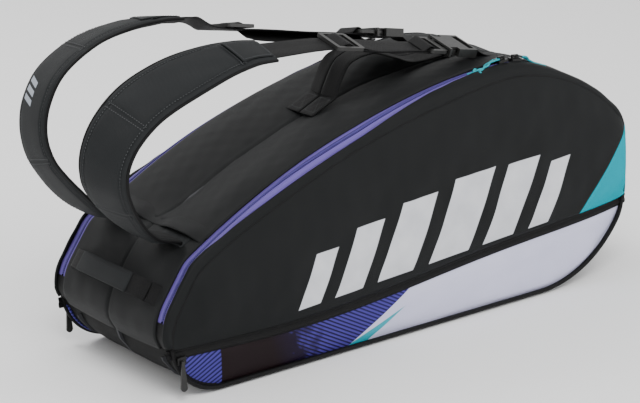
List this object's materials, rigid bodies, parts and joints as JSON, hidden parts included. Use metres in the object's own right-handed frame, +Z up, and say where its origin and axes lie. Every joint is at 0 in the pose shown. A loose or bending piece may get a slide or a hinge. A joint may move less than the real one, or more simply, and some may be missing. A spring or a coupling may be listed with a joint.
{
  "type": "racket tournament bag",
  "caption": "Wedge-shaped racket bag with zipped compartments, side pockets, padded shoulder straps with buckles, carry handles and an end grab handle.",
  "frame": {"origin": "centre of the flat bottom, where the bag rests", "axes": "+X along the bag towards the tall nose end, +Y across it, +Z up"},
  "size_m": [0.8166, 0.2718, 0.4218],
  "materials": {
    "shell_fabric": "dark grey woven polyester, padded and lined",
    "side_fabric": "near-black coated polyester with a fine weave",
    "pocket_fabric": "silver satin polyester with a printed purple pattern",
    "zip_purple": "purple woven zip tape with a coil chain",
    "black_trim": "black binding and piping",
    "lining": "grey lining cloth over foam",
    "webbing": "black woven webbing",
    "black_plastic": "black acetal, satin",
    "black_metal": "black painted zinc",
    "cyan_cord": "braided cyan cord"
  },
  "bodies": {
    "bag": {"back_panel": "shell_fabric", "base_panel": "black_trim", "centre_divider": "lining", "end_panel": "shell_fabric", "far_base_piping": "black_trim", "far_handle_tab_high": "webbing", "far_handle_tab_low": "webbing", "far_pocket_lining": "lining", "far_pocket_panel": "pocket_fabric", "far_pocket_zip": "black_trim", "far_strap_anchor": "webbing", "far_strap_root": "webbing", "far_zip_tape_fixed": "zip_purple", "grab_handle_tab_far": "webbing", "grab_handle_tab_near": "webbing", "near_base_piping": "black_trim", "near_handle_tab_high": "webbing", "near_handle_tab_low": "webbing", "near_pocket_lining": "lining", "near_pocket_panel": "pocket_fabric", "near_pocket_zip": "black_trim", "near_strap_anchor": "webbing", "near_strap_root": "webbing", "near_zip_tape_fixed": "zip_purple", "nose_panel": "shell_fabric"},
    "near_lid": {"near_side_panel": "side_fabric", "near_zip_tape_opening": "zip_purple", "near_side_piping": "black_trim"},
    "near_strap": {"near_shoulder_pad": "shell_fabric", "near_strap_webbing": "webbing", "near_buckle_socket": "black_plastic"},
    "near_adjuster": {"near_strap_adjuster": "black_plastic"},
    "near_buckle": {"near_buckle_prongs": "black_plastic"},
    "near_handle": {"near_carry_handle": "webbing"},
    "near_rear_zip_slider": {"near_rear_slider": "black_metal"},
    "near_rear_pull": {"near_rear_pull_eye": "black_metal", "near_rear_pull_cord": "cyan_cord"},
    "near_front_zip_slider": {"near_front_slider": "black_metal"},
    "near_front_pull": {"near_front_pull_eye": "black_metal", "near_front_pull_cord": "cyan_cord"},
    "near_pocket_zip_slider": {"near_pocket_slider": "black_metal"},
    "near_pocket_puller": {"near_pocket_pull": "black_plastic"},
    "far_lid": {"far_side_panel": "side_fabric", "far_zip_tape_opening": "zip_purple", "far_side_piping": "black_trim"},
    "far_strap": {"far_shoulder_pad": "shell_fabric", "far_strap_webbing": "webbing", "far_buckle_socket": "black_plastic"},
    "far_adjuster": {"far_strap_adjuster": "black_plastic"},
    "far_buckle": {"far_buckle_prongs": "black_plastic"},
    "far_handle": {"far_carry_handle": "webbing"},
    "far_rear_zip_slider": {"far_rear_slider": "black_metal"},
    "far_rear_pull": {"far_rear_pull_eye": "black_metal", "far_rear_pull_cord": "cyan_cord"},
    "far_front_zip_slider": {"far_front_slider": "black_metal"},
    "far_front_pull": {"far_front_pull_eye": "black_metal", "far_front_pull_cord": "cyan_cord"},
    "far_pocket_zip_slider": {"far_pocket_slider": "black_metal"},
    "far_pocket_puller": {"far_pocket_pull": "black_plastic"},
    "grab": {"grab_handle": "webbing"}
  },
  "joints": [
    {"name": "near_lid_opening", "type": "hinge", "parent": "bag", "child": "near_lid", "pos_m": [-0.375, -0.126, 0.06], "axis": [0.9979, 0.0184, 0.0625], "range_deg": [0, 40]},
    {"name": "near_strap_swing", "type": "hinge", "parent": "bag", "child": "near_strap", "pos_m": [-0.327, -0.06, 0.184], "axis": [0.9533, 0.0044, 0.3021], "range_deg": [-5, 24]},
    {"name": "near_adjuster_slide", "type": "slide", "parent": "near_strap", "child": "near_adjuster", "axis": [0.9813, -0.0165, -0.1919], "range_m": [0, 0.045]},
    {"name": "near_buckle_release", "type": "slide", "parent": "near_strap", "child": "near_buckle", "axis": [-0.9813, 0.0165, 0.1919], "range_m": [0, 0.04]},
    {"name": "near_handle_fold", "type": "hinge", "parent": "bag", "child": "near_handle", "pos_m": [-0.0455, -0.0145, 0.29573], "axis": [0.9869, 0, 0.1615], "range_deg": [-1, 25]},
    {"name": "near_rear_zip", "type": "hinge", "parent": "bag", "child": "near_rear_zip_slider", "pos_m": [0.212, -0.10236, -0.702], "axis": [0.0164, -0.9999, 0], "range_deg": [0, 22]},
    {"name": "near_rear_pull_lift", "type": "hinge", "parent": "near_rear_zip_slider", "child": "near_rear_pull", "pos_m": [0.16346, -0.10315, 0.32726], "axis": [-0.0164, 0.9999, 0], "range_deg": [0, 100]},
    {"name": "near_front_zip", "type": "hinge", "parent": "bag", "child": "near_front_zip_slider", "pos_m": [0.1596, -0.10322, 0.0477], "axis": [-0.0164, 0.9999, 0], "range_deg": [0, 15]},
    {"name": "near_front_pull_lift", "type": "hinge", "parent": "near_front_zip_slider", "child": "near_front_pull", "pos_m": [0.18633, -0.10278, 0.32532], "axis": [0.0164, -0.9999, 0], "range_deg": [0, 100]},
    {"name": "near_pocket_zip_run", "type": "slide", "parent": "bag", "child": "near_pocket_zip_slider", "axis": [0.9979, 0.0184, 0.0625], "range_m": [0, 0.64]},
    {"name": "near_pocket_pull_lift", "type": "hinge", "parent": "near_pocket_zip_slider", "child": "near_pocket_puller", "pos_m": [-0.355, -0.13473, 0.05225], "axis": [-1, 0, 0], "range_deg": [0, 80]},
    {"name": "far_lid_opening", "type": "hinge", "parent": "bag", "child": "far_lid", "pos_m": [-0.375, 0.126, 0.06], "axis": [-0.9979, 0.0184, -0.0625], "range_deg": [0, 40]},
    {"name": "far_strap_swing", "type": "hinge", "parent": "bag", "child": "far_strap", "pos_m": [-0.327, 0.06, 0.184], "axis": [-0.9461, 0.0051, -0.3238], "range_deg": [-5, 12]},
    {"name": "far_adjuster_slide", "type": "slide", "parent": "far_strap", "child": "far_adjuster", "axis": [0.9796, 0.0123, -0.2007], "range_m": [0, 0.045]},
    {"name": "far_buckle_release", "type": "slide", "parent": "far_strap", "child": "far_buckle", "axis": [-0.9796, -0.0123, 0.2007], "range_m": [0, 0.04]},
    {"name": "far_handle_fold", "type": "hinge", "parent": "bag", "child": "far_handle", "pos_m": [-0.0455, 0.0145, 0.29573], "axis": [-0.9869, 0, -0.1615], "range_deg": [-1, 10]},
    {"name": "far_rear_zip", "type": "hinge", "parent": "bag", "child": "far_rear_zip_slider", "pos_m": [0.212, 0.10236, -0.702], "axis": [-0.0164, -0.9999, 0], "range_deg": [0, 21]},
    {"name": "far_rear_pull_lift", "type": "hinge", "parent": "far_rear_zip_slider", "child": "far_rear_pull", "pos_m": [0.08286, 0.10448, 0.32027], "axis": [0.0164, 0.9999, 0], "range_deg": [0, 100]},
    {"name": "far_front_zip", "type": "hinge", "parent": "bag", "child": "far_front_zip_slider", "pos_m": [0.212, 0.10236, -0.702], "axis": [0.0164, 0.9999, 0], "range_deg": [0, 3.5]},
    {"name": "far_front_pull_lift", "type": "hinge", "parent": "far_front_zip_slider", "child": "far_front_pull", "pos_m": [0.10608, 0.1041, 0.32294], "axis": [-0.0164, -0.9999, 0], "range_deg": [0, 100]},
    {"name": "far_pocket_zip_run", "type": "slide", "parent": "bag", "child": "far_pocket_zip_slider", "axis": [0.9979, -0.0184, 0.0625], "range_m": [0, 0.64]},
    {"name": "far_pocket_pull_lift", "type": "hinge", "parent": "far_pocket_zip_slider", "child": "far_pocket_puller", "pos_m": [-0.355, 0.13473, 0.05225], "axis": [1, 0, 0], "range_deg": [0, 80]},
    {"name": "grab_handle_swing", "type": "hinge", "parent": "bag", "child": "grab", "pos_m": [-0.36723, 0, 0.12926], "axis": [0, 1, 0], "range_deg": [-14, 12]}
  ]
}
